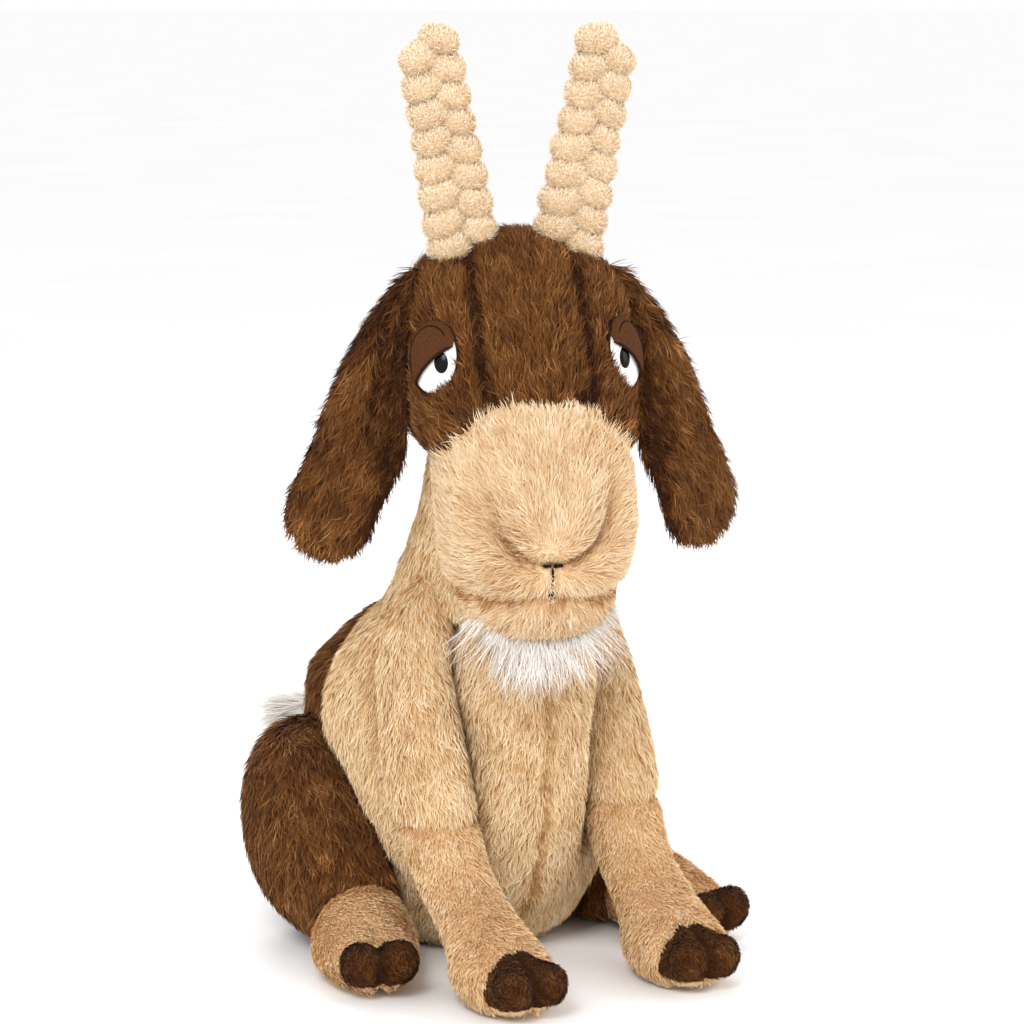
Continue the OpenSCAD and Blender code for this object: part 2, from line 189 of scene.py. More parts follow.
BROWN_SHADES = [(48, 24, 8), (84, 50, 21), (112, 70, 34), (140, 93, 50), (186, 134, 84)]
# The first, darkest stops of the tan and cream shades are reached mostly where the fur's tone is darkened as
# painted shade in seams, creases and the nose groove.
TAN_SHADES = [
    (180, 134, 88), (218, 182, 134), (234, 204, 158), (241, 215, 173), (247, 226, 189), (251, 235, 206),
]
PILE_SHADES = [(196, 144, 92), (225, 188, 137), (237, 206, 158), (244, 218, 176), (250, 232, 201)]
CREAM_SHADES = [
    (168, 118, 78), (220, 182, 140), (231, 201, 160), (238, 212, 175), (243, 223, 190), (249, 234, 209),
]
WHITE_SHADES = [(236, 230, 224), (246, 243, 239), (252, 251, 249), (255, 255, 254)]
HOOF_SHADES = [(56, 30, 11), (82, 47, 19), (104, 63, 28), (134, 88, 46)]
HORN_SHADES = [(206, 166, 116), (236, 218, 184), (245, 232, 204), (250, 241, 220), (254, 249, 236)]

FUR = {
    "brown": fur_material("brown_fur_strands", BROWN_SHADES, (170, 136, 108)),
    "tan": fur_material("tan_fur_strands", TAN_SHADES, (232, 202, 166)),
    "pile": fur_material("tan_short_pile_strands", PILE_SHADES, (226, 188, 148)),
    "cream": fur_material("cream_fur_strands", CREAM_SHADES, (242, 220, 190)),
    "white": fur_material("white_hair_strands", WHITE_SHADES, (235, 225, 210), 0.5, 0.1),
    "hoof": fur_material("hoof_plush_strands", HOOF_SHADES, (170, 136, 108)),
    "horn": fur_material("horn_pile_strands", HORN_SHADES, (226, 180, 130)),
}
SKIN = {
    "brown": pile_material("brown_fabric", (66, 36, 16), (106, 66, 34)),
    "tan": pile_material("tan_fabric", (200, 152, 104), (228, 190, 142)),
    "pile": pile_material("tan_short_pile_fabric", (196, 142, 94), (232, 194, 146)),
    "cream": pile_material("cream_fabric", (232, 194, 150), (248, 224, 186)),
    "white": pile_material("white_fabric", (214, 208, 200), (244, 242, 238)),
    "hoof": pile_material("hoof_fabric", (40, 20, 8), (80, 46, 20)),
    "horn": pile_material("horn_fabric", (218, 182, 132), (244, 228, 196)),
}

# ---- mesh helpers


def mesh_object(name, points, faces, material=None, smooth=True):
    me = bpy.data.meshes.new(name)
    me.from_pydata([tuple(p) for p in points], [], [tuple(f) for f in faces])
    if smooth:
        me.shade_smooth()
    me.update()
    o = bpy.data.objects.new(name, me)
    SCENE.collection.objects.link(o)
    if material:
        me.materials.append(material)
    return o


def read(items, what, size=3, kind=float):
    values = np.empty(len(items) * size, kind)
    items.foreach_get(what, values)
    return values.reshape(-1, size)


def points_of(me):
    return read(me.vertices, "co")


def normals_of(me):
    return read(me.vertex_normals, "vector")


def set_points(me, p):
    me.vertices.foreach_set("co", np.ascontiguousarray(p, float).ravel())
    me.update()


def edges_of(me):
    return read(me.edges, "vertices", 2, int)


def triangles_of(me):
    me.calc_loop_triangles()
    return read(me.loop_triangles, "vertices", 3, int)


def apply_modifiers(o):
    deps = bpy.context.evaluated_depsgraph_get()
    deps.update()
    me = bpy.data.meshes.new_from_object(o.evaluated_get(deps), depsgraph=deps)
    o.modifiers.clear()
    old = o.data
    o.data = me
    me.name = old.name + "_final"
    bpy.data.meshes.remove(old)
    return me


def relax(p, e, rounds, strength=0.5):
    """Moves every point towards the middle of its neighbours."""
    count = np.zeros(len(p))
    np.add.at(count, e[:, 0], 1)
    np.add.at(count, e[:, 1], 1)
    count = np.maximum(count, 1)[:, None]
    for _ in range(rounds):
        total = np.zeros_like(p)
        np.add.at(total, e[:, 0], p[e[:, 1]])
        np.add.at(total, e[:, 1], p[e[:, 0]])
        p = p + (total / count - p) * strength
    return p


def largest_part(me):
    """Drops every loose part but the biggest, such as pockets between a cover and its filling."""
    p = points_of(me)
    e = edges_of(me)
    label = np.arange(len(p))
    while True:
        low = label.copy()
        np.minimum.at(low, e[:, 0], label[e[:, 1]])
        np.minimum.at(low, e[:, 1], label[e[:, 0]])
        low = low[low]
        if (low == label).all():
            break
        label = low
    extent = lambda k: np.prod(np.ptp(p[label == k], axis=0) + 1e-9)
    keep = label == max(np.unique(label), key=extent)
    index = np.cumsum(keep) - 1
    faces = [tuple(index[list(f.vertices)]) for f in me.polygons if keep[f.vertices[0]]]
    return p[keep], faces


def solids_of(nodes):
    """The points and faces of some CAD nodes together."""
    points, faces = [], []
    for node in nodes:
        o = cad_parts[node]
        base = len(points)
        points += [o.matrix_world @ v.co for v in o.data.vertices]
        faces += [[base + i for i in f.vertices] for f in o.data.polygons]
    return points, faces


def skin_from(name, nodes, voxel, rounds):
    """One closed, softened skin round the CAD nodes of a body part."""
    o = mesh_object(name, *solids_of(nodes), smooth=False)
    r = o.modifiers.new("skin", "REMESH")
    r.mode = "VOXEL"
    r.voxel_size = voxel
    me = apply_modifiers(o)
    p, f = largest_part(me)
    bpy.data.objects.remove(o)
    o = mesh_object(name, p, f)
    set_points(o.data, relax(p, edges_of(o.data), rounds))
    return o


def distances(p, targets):
    """Distance from each point to the nearest target."""
    kd = KDTree(len(targets))
    for i, q in enumerate(targets):
        kd.insert(q, i)
    kd.balance()
    return np.array([kd.find(q)[2] for q in p])


def bell(d, width):
    """1 at d = 0, falling to almost 0 two widths away."""
    return np.exp(-((d / width) ** 2))


def step(v, low, high):
    """0 below low, 1 above high, and a smooth rise between."""
    t = np.clip((v - low) / (high - low), 0, 1)
    return t * t * (3 - 2 * t)


TOE_REACH = 1.5 * MM  # toe pads reach this much further than their solids


def nearest_node(points, nodes):
    """For each point, the index of the node whose surface is nearest."""
    trees = [BVHTree.FromPolygons(*solids_of([n])) for n in nodes]
    reach = [TOE_REACH if n.endswith("hooves") else 0.0 for n in nodes]
    out = np.zeros(len(points), int)
    for i, p in enumerate(points):
        best = 1.0
        for k, t in enumerate(trees):
            d = t.find_nearest(p, best + reach[k])[3]
            if d is not None and d - reach[k] < best:
                best, out[i] = d - reach[k], k
    return out


# ---- the stuffed skins
# voxel is the remesh size in millimetres, and rounds are the passes of smoothing after it
PARTS = {
    "torso": dict(
        body="torso", voxel=4.0, rounds=5,
        panels=["chest_left", "chest_right", "back_panel", "base_panel"],
        inside=["torso_filling", "pellet_bag"],
    ),
    "head": dict(
        body="head", voxel=3.4, rounds=4,
        panels=["head_side_left", "head_side_right", "head_gusset", "muzzle", "chin"],
        inside=["head_filling"],
    ),
}
for side in ("left", "right"):
    for leg, voxel, pieces in (
        (f"front_leg_{side}", 3.0, ("upper", "lower", "sole", "hooves")),
        (f"hind_leg_{side}", 3.4, ("thigh", "foot", "sole", "hooves")),
    ):
        PARTS[leg] = dict(
            body=leg, voxel=voxel, rounds=4, panels=[f"{leg}_{k}" for k in pieces], inside=[f"{leg}_filling"],
        )
    PARTS["ear_" + side] = dict(
        body="ear_" + side, voxel=2.4, rounds=4,
        panels=[f"ear_{side}_front", f"ear_{side}_back"], inside=[],
    )

KIND = {
    "chest_left": "tan", "chest_right": "tan", "back_panel": "brown", "base_panel": "tan",
    "head_side_left": "brown", "head_side_right": "brown", "head_gusset": "brown",
    "muzzle": "cream", "chin": "cream",
}
KIND_BY_ENDING = {
    "front": "brown", "back": "brown", "upper": "tan", "lower": "pile", "thigh": "brown", "foot": "pile",
    "sole": "cream", "hooves": "hoof",
}

for name, part in PARTS.items():
    for panel in part["panels"]:
        if panel not in KIND:
            KIND[panel] = KIND_BY_ENDING[panel.split("_")[-1]]
    o = skin_from(name + "_skin", part["panels"] + part["inside"], part["voxel"] * MM, part["rounds"])
    part["object"] = o
    part["label"] = nearest_node(points_of(o.data), part["panels"])


def seam_points(part):
    """Middles of the edges where two panels of a skin meet."""
    me = part["object"].data
    e = edges_of(me)
    p = points_of(me)
    across = part["label"][e[:, 0]] != part["label"][e[:, 1]]
    return p[e[across]].mean(1)


def nose_seam(steps=60):
    """The U-shaped seam round the bridge of the nose, in the head's own frame: x and z only."""
    # half the seam, from its lowest point up one side of the nose
    zs = np.array([175.2, 176.0, 178.5, 182.5, 187.5, 193.5, 203, 214, 222]) * MM
    xs = np.array([0, 6.5, 12, 16.5, 19.8, 22.3, 24.6, 25.6, 25.8]) * MM
    t = np.linspace(0, 1, steps) ** 1.3
    z = zs[0] + t * (zs[-1] - zs[0])
    x = np.interp(z, zs, xs)
    return np.concatenate([np.c_[-x[::-1], z[::-1]], np.c_[x, z]])


PUFF_FRAMES = 20
PUFF_CAP = 2.4 * MM
SEWN_REACH = 3.5 * MM


def puff(parts):
    """Air pressure swells each skin a little between its seams, which stay where they are sewn."""
    work = []
    for part in parts:
        o = part["object"]
        p = points_of(o.data)
        weight = np.clip(1 - distances(p, seam_points(part)) / SEWN_REACH, 0, 1)
        group = o.vertex_groups.new(name="sewn")
        for i in np.nonzero(weight > 0)[0]:
            group.add([int(i)], float(weight[i]), "REPLACE")
        cloth = o.modifiers.new("stuffing", "CLOTH")
        s = cloth.settings
        s.quality = 4
        s.mass = 0.3
        s.tension_stiffness = 20
        s.compression_stiffness = 12
        s.shear_stiffness = 8
        s.bending_stiffness = 0.6
        s.air_damping = 2
        s.use_pressure = True
        s.uniform_pressure_force = 4.0
        s.vertex_group_mass = "sewn"
        s.effector_weights.gravity = 0
        cloth.collision_settings.use_collision = False
        cloth.point_cache.frame_start = 1
        cloth.point_cache.frame_end = PUFF_FRAMES
        work.append((o, p))
    for f in range(1, PUFF_FRAMES + 1):
        SCENE.frame_set(f)
    deps = bpy.context.evaluated_depsgraph_get()
    for o, p in work:
        move = points_of(o.evaluated_get(deps).data) - p
        size = np.linalg.norm(move, axis=1, keepdims=True)
        move *= np.minimum(1, PUFF_CAP / np.maximum(size, 1e-9))
        o.modifiers.clear()
        set_points(o.data, p + move)
    SCENE.frame_set(1)


puff(list(PARTS.values()))


def groove(p, n, line_points, depth, width):
    """Pulls a skin in along a sewn line."""
    return p - n * (depth * bell(distances(p, line_points), width))[:, None]


def subdivided(o):
    s = o.modifiers.new("fine", "SUBSURF")
    s.levels = s.render_levels = 1
    return apply_modifiers(o)


MUZZLE_HALF = 37 * MM
ARCH_DROP = 21 * MM
GUSSET_HALF = 17 * MM


def arch_muzzle(part, p):
    """The muzzle fabric rises to an arch over the nose, and the brown comes lower at the sides."""
    label = part["label"]
    h = to_head(p)
    is_muzzle = label == part["panels"].index("muzzle")
    top = h[is_muzzle & (np.abs(h[:, 0]) < 10 * MM), 2].max()
    arch = top + 2 * MM - ARCH_DROP * (np.abs(h[:, 0]) / MUZZLE_HALF) ** 2.2
    above = is_muzzle & (h[:, 2] > arch)
    for sign, side in ((1, "left"), (-1, "right")):
        label[above & (h[:, 0] * sign > GUSSET_HALF)] = part["panels"].index(f"head_side_{side}")
    label[above & (np.abs(h[:, 0]) <= GUSSET_HALF)] = part["panels"].index("head_gusset")


def ear_against_head(p, sign):
    """The inner half of the ear reaches further in, and its root sits closer."""
    h = to_head(p)
    x = h[:, 0] * sign
    z = h[:, 2]
    levels = np.linspace(z.min(), z.max(), 24)
    middle = np.interp(z, levels, [x[np.abs(z - q) < 6 * MM].mean() for q in levels])
    inner = step(middle - x, -4 * MM, 5 * MM) * step(z, 195 * MM, 232 * MM)
    h[:, 0] = (x - 6.5 * MM * inner - 4.5 * MM * step(z, 252 * MM, 284 * MM)) * sign
    return in_head(h)


def chest_beside_legs(p):
    """The chest bulges into the pocket between it and each front leg."""
    level = step(p[:, 2], 92 * MM, 118 * MM) * (1 - step(p[:, 2], 134 * MM, 150 * MM))
    pocket = level * step(np.abs(p[:, 0]), 12 * MM, 26 * MM) * step(-p[:, 1], -20 * MM, 5 * MM)
    return p + np.c_[np.sign(p[:, 0]) * 4.5 * MM * pocket, 0 * pocket, 0 * pocket]


def leg_into_shoulder(p, sign):
    """The leg's top runs up into the shoulder as a wedge."""
    up = np.clip((p[:, 2] - 126 * MM) / (17 * MM), 0, 1)
    return p + np.c_[-sign * 7 * MM * up, -3 * MM * up, 24 * MM * up ** 1.3]


def reshape(name, p):
    sign = -1 if name.endswith("right") else 1
    if name.startswith("ear"):
        return ear_against_head(p, sign)
    if name == "torso":
        return chest_beside_legs(p)
    if name.startswith("front_leg"):
        return leg_into_shoulder(p, sign)
    return p


def pads_of(part):
    """The index of a foot's toe pads among its panels, as a list of one, or none."""
    return [k for k, n in enumerate(part["panels"]) if n.endswith("hooves")]


def toe_cleft(part, p):
    """1 on the line between a foot's two toe pads, falling to 0 a few millimetres away."""
    pads = pads_of(part)
    if not pads:
        return np.zeros(len(p))
    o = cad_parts[part["panels"][pads[0]]]
    m = np.array(o.matrix_world)
    v = points_of(o.data) @ m[:3, :3].T + m[:3, 3]
    middle = (v.min(0) + v.max(0)) / 2
    across = np.linalg.eigh(np.cov((v[:, :2] - v[:, :2].mean(0)).T))[1][:, 1]
    middle[:2] = v[:, :2].mean(0)
    d = (p[:, :2] - middle[:2]) @ across
    near = np.linalg.norm(p - middle, axis=1) < 26 * MM
    return bell(d, 2.3 * MM) * near


SOLE_TOP = 5.5 * MM
LIKE_KINDS = {"pile": 0, "tan": 0, "brown": 1, "cream": 2, "hoof": 3}


def pale_soles(part):
    """The pale sole shows below the toe pads."""
    pads = pads_of(part)
    if pads:
        low = part["points"][:, 2] < SOLE_TOP
        sole = part["panels"].index(part["body"] + "_sole")
        part["label"][low & (part["label"] == pads[0])] = sole


def kin_seams(part):
    """Middles of the edges where two panels of like colour meet."""
    me = part["object"].data
    e = edges_of(me)
    p = points_of(me)
    kinds = np.array([LIKE_KINDS[KIND[q]] for q in part["panels"]])
    a, b = part["label"][e[:, 0]], part["label"][e[:, 1]]
    return p[e[(a != b) & (kinds[a] == kinds[b])]].mean(1)


INSET = 1.2 * MM  # the fabric lies this far inside, and its fur fills the rest
SEAM_DEPTH = {"torso": 2.4 * MM, "head": 1.9 * MM}
SEAM_HALF = 3.4 * MM


def nose_and_mouth(p, n):
    """Pulls in the seam round the nose and the line down to the mouth, and fills out the cheeks."""
    h = to_head(p)
    zero = 0 * h[:, 0]
    line = nose_seam()
    d = distances(np.c_[h[:, 0], zero, h[:, 2]], np.insert(line, 1, 0, axis=1))
    front = np.clip((-0.048 - h[:, 1]) / 0.01, 0, 1)
    low = np.clip((0.208 - h[:, 2]) / 0.02, 0.25, 1)
    p = p - n * (5.0 * MM * bell(d, 3.4 * MM) * front * low)[:, None]
    p = p + n * (2.4 * MM * bell(d - 11 * MM, 6 * MM) * front)[:, None]
    down = bell(h[:, 0], 2.2 * MM) * front
    down *= np.clip((0.176 - h[:, 2]) / 0.002, 0, 1) * np.clip((h[:, 2] - 0.160) / 0.002, 0, 1)
    return p - n * (1.8 * MM * down)[:, None]


for name, part in PARTS.items():
    o = part["object"]
    if name == "head":
        arch_muzzle(part, points_of(o.data))
    set_points(o.data, reshape(name, points_of(o.data)))
    part["seams"] = seam_points(part)
    me = subdivided(o)
    me.shade_smooth()
    p = points_of(me)
    n = normals_of(me)
    p = p - n * INSET
    if not name.startswith("ear"):
        p = groove(p, n, part["seams"], SEAM_DEPTH.get(name, 1.6 * MM), SEAM_HALF)
    if name == "head":
        p = nose_and_mouth(p, n)
    p = p - n * (2.5 * MM * toe_cleft(part, p))[:, None]
    set_points(me, p)
    part["points"] = p
    part["normals"] = normals_of(me)
    part["label"] = nearest_node(p, part["panels"])
    pale_soles(part)
    if name == "head":
        arch_muzzle(part, p)
    part["kin_seams"] = kin_seams(part)

# ---- fur


class Lattice:
    """Smooth random values in space, the same on every run."""

    def __init__(self, seed, channels=1):
        self.table = np.random.default_rng(seed).uniform(-1, 1, (32, 32, 32, channels))

    def at(self, p, size):
        q = p / size
        low = np.floor(q).astype(int)
        f = q - low
        f = f * f * (3 - 2 * f)
        out = 0
        for dx in (0, 1):
            for dy in (0, 1):
                for dz in (0, 1):
                    w = (
                        (f[:, 0] if dx else 1 - f[:, 0])
                        * (f[:, 1] if dy else 1 - f[:, 1])
                        * (f[:, 2] if dz else 1 - f[:, 2])
                    )
                    v = self.table[
                        (low[:, 0] + dx) % 32, (low[:, 1] + dy) % 32, (low[:, 2] + dz) % 32
                    ]
                    out = out + v * w[:, None]
        return out


def unit(v):
    """Rows of length 1."""
    return v / np.maximum(np.linalg.norm(v, axis=1, keepdims=True), 1e-9)


def tangent(direction, n):
    """The part of a direction that lies along the surface, as unit vectors."""
    return unit(direction - n * np.sum(direction * n, axis=1, keepdims=True))


def scatter(points, faces, normals, density, rng):
    """Random roots on triangles, density in strands per square millimetre for each face."""
    a, b, c = points[faces[:, 0]], points[faces[:, 1]], points[faces[:, 2]]
    area = np.linalg.norm(np.cross(b - a, c - a), axis=1) / 2 * 1e6
    want = area * density
    count = np.floor(want + rng.random(len(want))).astype(int)
    face = np.repeat(np.arange(len(faces)), count)
    r1 = np.sqrt(rng.random(len(face)))[:, None]
    r2 = rng.random(len(face))[:, None]
    w = (1 - r1, r1 * (1 - r2), r1 * r2)
    tri = faces[face]
    p = w[0] * points[tri[:, 0]] + w[1] * points[tri[:, 1]] + w[2] * points[tri[:, 2]]
    n = unit(w[0] * normals[tri[:, 0]] + w[1] * normals[tri[:, 1]] + w[2] * normals[tri[:, 2]])
    return p, n, face


SHADES = 24  # steps that the strands' shades are rounded to
FLOOR_GAP = 0.3 * MM


def ribbons(name, material, p, n, d, length, width, lift, shade, rng, sway=0.25, segments=2):
    """Tapered flat strands as one mesh: p roots, n surface normals, d combing directions."""
    count = len(p)
    length = np.broadcast_to(length, count)[:, None]
    width = np.broadcast_to(width, count)[:, None]
    lift = np.broadcast_to(lift, count)[:, None]
    side = unit(np.cross(d, n))
    roll = rng.uniform(-0.9, 0.9, (count, 1))
    flat = side * np.cos(roll) + n * np.sin(roll)
    bend = rng.normal(0, sway, (count, 1))
    rows, levels = [], []
    for k in range(segments + 1):
        t = k / segments
        along = p + d * length * t * (1 - 0.12 * t)
        along = along + n * length * (lift * (t - 0.5 * t * t)) + side * length * bend * t * t
        if k == segments:
            rows.append(along)
        else:
            half = flat * width * 0.5 * (1 - t) ** 0.6
            rows += [along - half, along + half]
        levels.append(t)
    per = len(rows)
    verts = np.stack(rows, axis=1).reshape(-1, 3)
    verts[:, 2] = np.maximum(verts[:, 2], FLOOR_GAP)
    pattern, v_of = [], []
    for k in range(segments - 1):
        i = 2 * k
        pattern += [(i, i + 1, i + 3), (i, i + 3, i + 2)]
        v_of += [(levels[k], levels[k], levels[k + 1]), (levels[k], levels[k + 1], levels[k + 1])]
    i = 2 * (segments - 1)
    pattern.append((i, i + 1, i + 2))
    v_of.append((levels[-2], levels[-2], 1.0))
    pattern = np.array(pattern)
    v_of = np.array(v_of)
    tris = (np.arange(count)[:, None, None] * per + pattern[None]).reshape(-1, 3)
    u = (np.floor(np.clip(shade, 0, 0.9999) * SHADES) + 0.5) / SHADES
    uv = np.empty((count, len(pattern), 3, 2))
    uv[..., 0] = u[:, None, None]
    uv[..., 1] = np.clip(v_of, 0.02, 0.98)[None]
    me = bpy.data.meshes.new(name)
    me.vertices.add(len(verts))
    me.vertices.foreach_set("co", verts.astype(np.float32).ravel())
    me.loops.add(len(tris) * 3)
    me.loops.foreach_set("vertex_index", tris.astype(np.int32).ravel())
    me.polygons.add(len(tris))
    me.polygons.foreach_set("loop_start", np.arange(0, len(tris) * 3, 3, dtype=np.int32))
    me.polygons.foreach_set("use_smooth", np.ones(len(tris), dtype=bool))
    me.update(calc_edges=True)
    layer = me.uv_layers.new(name=FUR_UV)
    layer.data.foreach_set("uv", uv.astype(np.float32).ravel())
    me.materials.append(material)
    o = bpy.data.objects.new(name, me)
    SCENE.collection.objects.link(o)
    return o


# length and width in millimetres, lift, and strands per square millimetre, for each kind of fabric
PILE = {
    "brown": (9.0, 0.62, 0.42, 1.25),
    "tan": (6.5, 0.55, 0.42, 1.3),
    "pile": (3.2, 0.5, 0.75, 2.2),
    "cream": (7.0, 0.52, 0.40, 1.5),
    "hoof": (2.6, 0.5, 0.6, 2.6),
}
WIND = Lattice(11, 3)
TONE = Lattice(12, 1)
NOSE = in_head([(0, -0.074, 0.180)])[0]
MOUTH = in_head([(0, -0.070, 0.170)])[0]
EAR_ROOTS = [in_head([(x, 0.0025, 0.282)])[0] for x in (0.0465, -0.0465)]
EAR_ROOT_REACH = 0.021


def comb(n, x, y, z):
    """One direction laid along the surface; x may differ from point to point."""
    one = np.ones((len(n), 1))
    return tangent(np.c_[x * one, y * one, z * one], n)


# y and z of the direction in which the pieces of a leg are combed
COMBED = {"thigh": (-0.35, -1), "hooves": (-1, -0.5), "foot": (-1, -0.3)}


def flow(panel, p, n):
    """The way the pile is combed, panel by panel."""
    side = np.sign(p[:, :1])
    if panel in ("head_gusset", "head_side_left", "head_side_right", "muzzle"):
        return tangent(unit(p - NOSE) + np.array([0, 0, 0.15]), n)
    if panel == "chin":
        return tangent(p - MOUTH + np.array([0, 0, -0.01]), n)
    if panel.startswith("ear"):
        return comb(n, 0.55 * np.sign(to_head(p)[:, :1]), -0.1, -1)
    if panel in ("chest_left", "chest_right"):
        return comb(n, 0.25 * side, 0.05, -1)
    if panel == "back_panel":
        return comb(n, 0.2 * side, 0.3, -1)
    if panel == "base_panel":
        return tangent(p - np.array([0, 0.046, 0.0]), n)
    y, z = COMBED.get(panel.split("_")[-1], (-0.3, -1))
    return comb(n, 0, y, z)


ROOM = 0.012  # the furthest that another skin is looked for
skin_trees = {}
for name, part in PARTS.items():
    me = part["object"].data
    skin_trees[name] = BVHTree.FromPolygons(
        [tuple(q) for q in part["points"]], [tuple(f.vertices) for f in me.polygons]
    )


def room_round(p, own):
    """Distance from each root to the nearest other skin."""
    near = np.full(len(p), ROOM)
    low, high = p.min(0) - ROOM, p.max(0) + ROOM
    for name, part in PARTS.items():
        if name == own:
            continue
        q = part["points"]
        if (q.min(0) > high).any() or (q.max(0) < low).any():
            continue
        t = skin_trees[name]
        inside = ((p > q.min(0) - ROOM) & (p < q.max(0) + ROOM)).all(1)
        for i in np.nonzero(inside)[0]:
            d = t.find_nearest(p[i], near[i])[3]
            if d is not None:
                near[i] = min(near[i], d)
    return near


def piece(o, body):
    """Shoulder fabric of a front leg stays where it is, on no body; everything else rides one body."""
    if body.startswith("front_leg") and "_upper_" in o.name:
        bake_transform(o)
    else:
        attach(o, body)
    return o


MAX_STRANDS = 62000
SHORTEST = 0.9 * MM  # strands trimmed below this are left out


def grow(name, body, kind, p, n, d, length, width, lift, tone, rng, **more):
    """Fur as one or more pieces, each small enough for the export."""
    parts = max(1, math.ceil(len(p) / MAX_STRANDS))
    order = np.argsort(p[:, 2], kind="stable")
    for k, index in enumerate(np.array_split(order, parts)):
        label = name if parts == 1 else f"{name}_{k + 1}"
        pick = lambda v: v[index] if isinstance(v, np.ndarray) and len(v) == len(p) else v
        o = ribbons(
            label, FUR[kind], p[index], n[index], d[index], pick(length), pick(width),
            pick(lift), pick(tone), rng, **more,
        )
        piece(o, body)


def distance_to(p, targets, limit):
    """Distance from each point to the nearest target, if there is any, and no more than the limit."""
    if len(targets) == 0:
        return np.full(len(p), limit)
    return np.minimum(distances(p, targets), limit)


FACE_FRONT = -0.045


def nose_crease(p):
    """1 on the seam round the nose, falling to 0 a few millimetres away."""
    h = to_head(p)
    line = nose_seam()
    flat = np.c_[h[:, 0], h[:, 2]]
    d = np.sqrt(((flat[:, None] - line[None, ::2]) ** 2).sum(2).min(1))
    low = np.clip((0.212 - h[:, 2]) / 0.03, 0.2, 1)
    return bell(d, 2.6 * MM) * (h[:, 1] < FACE_FRONT) * low


def panel_triangles(part, panel):
    """The triangles of a skin that most of their corners give to one panel."""
    tris = triangles_of(part["object"].data)
    which = part["panels"].index(panel)
    return tris[np.array([max(set(t), key=t.count) == which for t in part["label"][tris].tolist()])]


def panel_fur(part_name, panel, seed):
    """Scatters, combs, trims and colours the fur of one panel."""
    part = PARTS[part_name]
    rng = np.random.default_rng(seed)
    kind = KIND[panel]
    length, width, lift, density = PILE[kind]
    if panel.startswith("ear"):
        length = 10.5
    if panel.endswith("sole") or panel == "base_panel":
        length, lift, density = 2.2, 0.3, 0.8
    p, n, _ = scatter(part["points"], panel_triangles(part, panel), part["normals"], density, rng)
    near = room_round(p, part_name)
    keep = near > (0.3 if p[:, 2].min() > 0.11 else 0.8) * MM
    p, n, near = p[keep], n[keep], near[keep]
    d = flow(panel, p, n)
    wind = WIND.at(p, 7 * MM) * 0.35 + WIND.at(p + 0.3, 2.6 * MM) * 0.4
    d = tangent(d + wind, n)
    d = tangent(d + rng.normal(0, 0.13, d.shape), n)
    size = length * MM * rng.uniform(0.75, 1.15, len(p))
    least = np.full(len(p), 1.6)
    if kind == "tan":
        least = 3.4 + 3.6 * np.clip((p[:, 2] - 0.112) / 0.012, 0, 1)
    if part_name.startswith("ear") or part_name == "head":
        root = np.minimum(*[np.linalg.norm(p - q, axis=1) for q in EAR_ROOTS])
        at_root = np.clip((EAR_ROOT_REACH - root) / 0.006, 0, 1)
        least = 1.6 + 9.0 * at_root
        size = size * (1 + 0.5 * at_root)
    size = np.minimum(size, np.maximum(near * 1.3, least * MM))
    size *= face_trim(part_name, p)
    seam = distance_to(p, part["kin_seams"], 8 * MM)
    crease = bell(seam, (2.4 if part_name == "head" else 1.9) * MM)
    if panel.endswith("hooves"):
        crease = np.maximum(crease, toe_cleft(part, p))
    size *= 1 - 0.5 * crease
    up = lift * rng.uniform(0.6, 1.5, len(p))
    tone = 0.54 + 0.27 * TONE.at(p, 2.4 * MM)[:, 0] + 0.16 * TONE.at(p + 1, 9 * MM)[:, 0]
    # The tone is darkened along seams between panels of like colour and in the cleft between toe pads:
    # painted shade in these creases.
    tone = tone + rng.normal(0, 0.13, len(p)) - (0.6 if part_name == "head" else 0.4) * crease
    # Darker where another skin is close: painted shade between the parts.
    tone = tone - 0.3 * np.exp(-near / (2.5 * MM))
    # Darker along the seam round the nose: painted shade in its groove.
    if part_name == "head":
        tone = tone - 0.62 * nose_crease(p)
    lay = width * MM * rng.uniform(0.8, 1.2, len(p))
    keep = size > SHORTEST
    grow(
        panel + "_fur", part["body"], kind, p[keep], n[keep], d[keep], size[keep], lay[keep],
        up[keep], tone[keep], rng,
    )


EYE_CENTRE = Vector((39, -23.5, 254.8)) * MM
EYE_SPOTS = {}
for side, sign in (("left", 1), ("right", -1)):
    m = Matrix.Scale(-1, 4, (1, 0, 0)) if sign < 0 else Matrix.Identity(4)
    m = m @ Matrix.Translation(EYE_CENTRE)
    m = m @ Matrix.Rotation(math.radians(47), 4, "Z") @ Matrix.Rotation(math.radians(-14), 4, "X")
    m = m @ Matrix.Rotation(math.radians(12), 4, "Y")
    EYE_SPOTS[side] = HEAD_SPOT @ m
EYE_HALF = np.array([11, 4.5, 14.5]) * MM


def face_trim(part_name, p):
    """No fur under the eyes, and short fur round them, at the nose seam and at the mouth."""
    if part_name != "head":
        return 1.0
    out = np.ones(len(p))
    for m in EYE_SPOTS.values():
        inv = np.array(m.inverted())
        q = p @ inv[:3, :3].T + inv[:3, 3]
        r = np.hypot(q[:, 0] / EYE_HALF[0], q[:, 2] / EYE_HALF[2])
        near = np.abs(q[:, 1]) < 12 * MM
        out = np.where(near & (r < 0.96), 0, out)
        out = np.where(near & (r >= 0.96), out * np.clip(0.35 + (r - 0.96) * 2.2, 0, 1), out)
    h = to_head(p)
    front = h[:, 1] < FACE_FRONT
    nose = np.hypot(h[:, 0], h[:, 2] - 0.180) / (16 * MM)
    out = np.where(front, out * np.clip(0.35 + 0.65 * nose, 0, 1), out)
    return out * (1 - 0.55 * nose_crease(p))


seed = 100
for name, part in PARTS.items():
    for panel in part["panels"]:
        seed += 1
        panel_fur(name, panel, seed)

# ---- skins split into their panels


